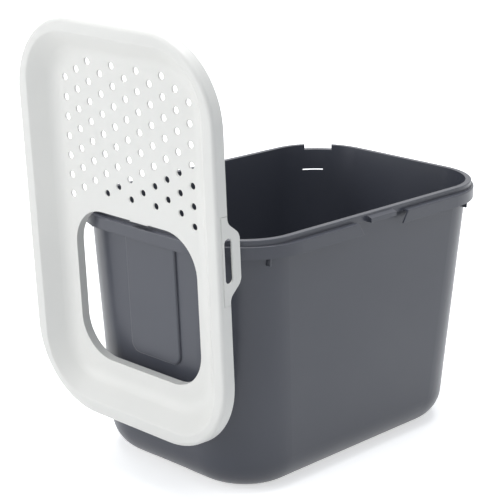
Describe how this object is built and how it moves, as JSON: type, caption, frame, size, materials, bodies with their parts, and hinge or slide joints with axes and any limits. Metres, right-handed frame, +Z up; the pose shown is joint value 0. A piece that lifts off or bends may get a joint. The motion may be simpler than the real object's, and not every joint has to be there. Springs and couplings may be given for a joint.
{
  "type": "top entry litter box",
  "caption": "Deep tub litter box with a rounded rim, shown with its perforated top-entry lid hung on one end of the tub; the lid has clip tabs along its long sides.",
  "frame": {"origin": "middle of the plan of the whole object as shown, lid hung on the tub, at floor level", "axes": "+Z up; X along the tub's length with the hung lid at the -X end; Y across the tub"},
  "size_m": [0.6435, 0.388, 0.6675],
  "materials": {
    "tub_plastic": "satin",
    "lid_plastic": "satin"
  },
  "bodies": {
    "tub_body": {"tub": "tub_plastic"},
    "lid_body": {"lid": "lid_plastic"},
    "tab_left_body": {"clip_tab_left": "lid_plastic"},
    "tab_right_body": {"clip_tab_right": "lid_plastic"}
  },
  "joints": [
    {"name": "lid_lift", "type": "slide", "parent": "tub_body", "child": "lid_body", "axis": [-0.1736, 0, 0.9848], "range_m": [0, 0.34]},
    {"name": "clip_left_flex", "type": "hinge", "parent": "lid_body", "child": "tab_left_body", "pos_m": [-0.29497, -0.1937, 0.37726], "axis": [0.0698, 0, -0.9976], "range_deg": [0, 12], "stiffness_Nm_per_rad": 0.5},
    {"name": "clip_right_flex", "type": "hinge", "parent": "lid_body", "child": "tab_right_body", "pos_m": [-0.29497, 0.1937, 0.37726], "axis": [-0.0698, 0, 0.9976], "range_deg": [0, 12], "stiffness_Nm_per_rad": 0.5}
  ]
}
